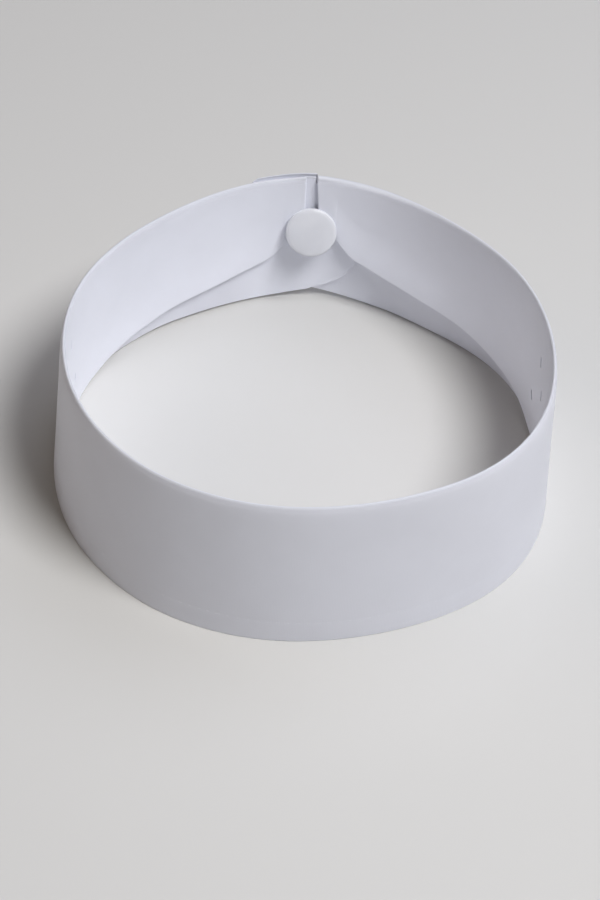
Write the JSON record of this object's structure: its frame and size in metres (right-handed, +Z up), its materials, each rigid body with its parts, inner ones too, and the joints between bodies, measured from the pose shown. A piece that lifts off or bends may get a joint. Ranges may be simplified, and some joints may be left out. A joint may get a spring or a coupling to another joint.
{
  "type": "clergy collar",
  "caption": "Stiff white stand-up clergy collar, fastened at the back with a stud through lapped ends, open at the neck and standing on its lower edge.",
  "frame": {"origin": "under the middle of the bounding box, on the surface that the collar stands on", "axes": "+Z up, +Y towards the fastening at the back of the neck, -Y towards the throat, +X to the right as seen from the front"},
  "size_m": [0.1304, 0.1342, 0.0445],
  "materials": {
    "outer_cloth": "smooth stiffened white cloth with a faint cool cast",
    "inner_cloth": "smooth stiffened white cloth",
    "stud": "smooth white plastic with a soft gloss"
  },
  "bodies": {
    "root": {"outer_leaf": "outer_cloth", "inner_leaf": "inner_cloth", "collar_stud": "stud"}
  },
  "joints": []
}
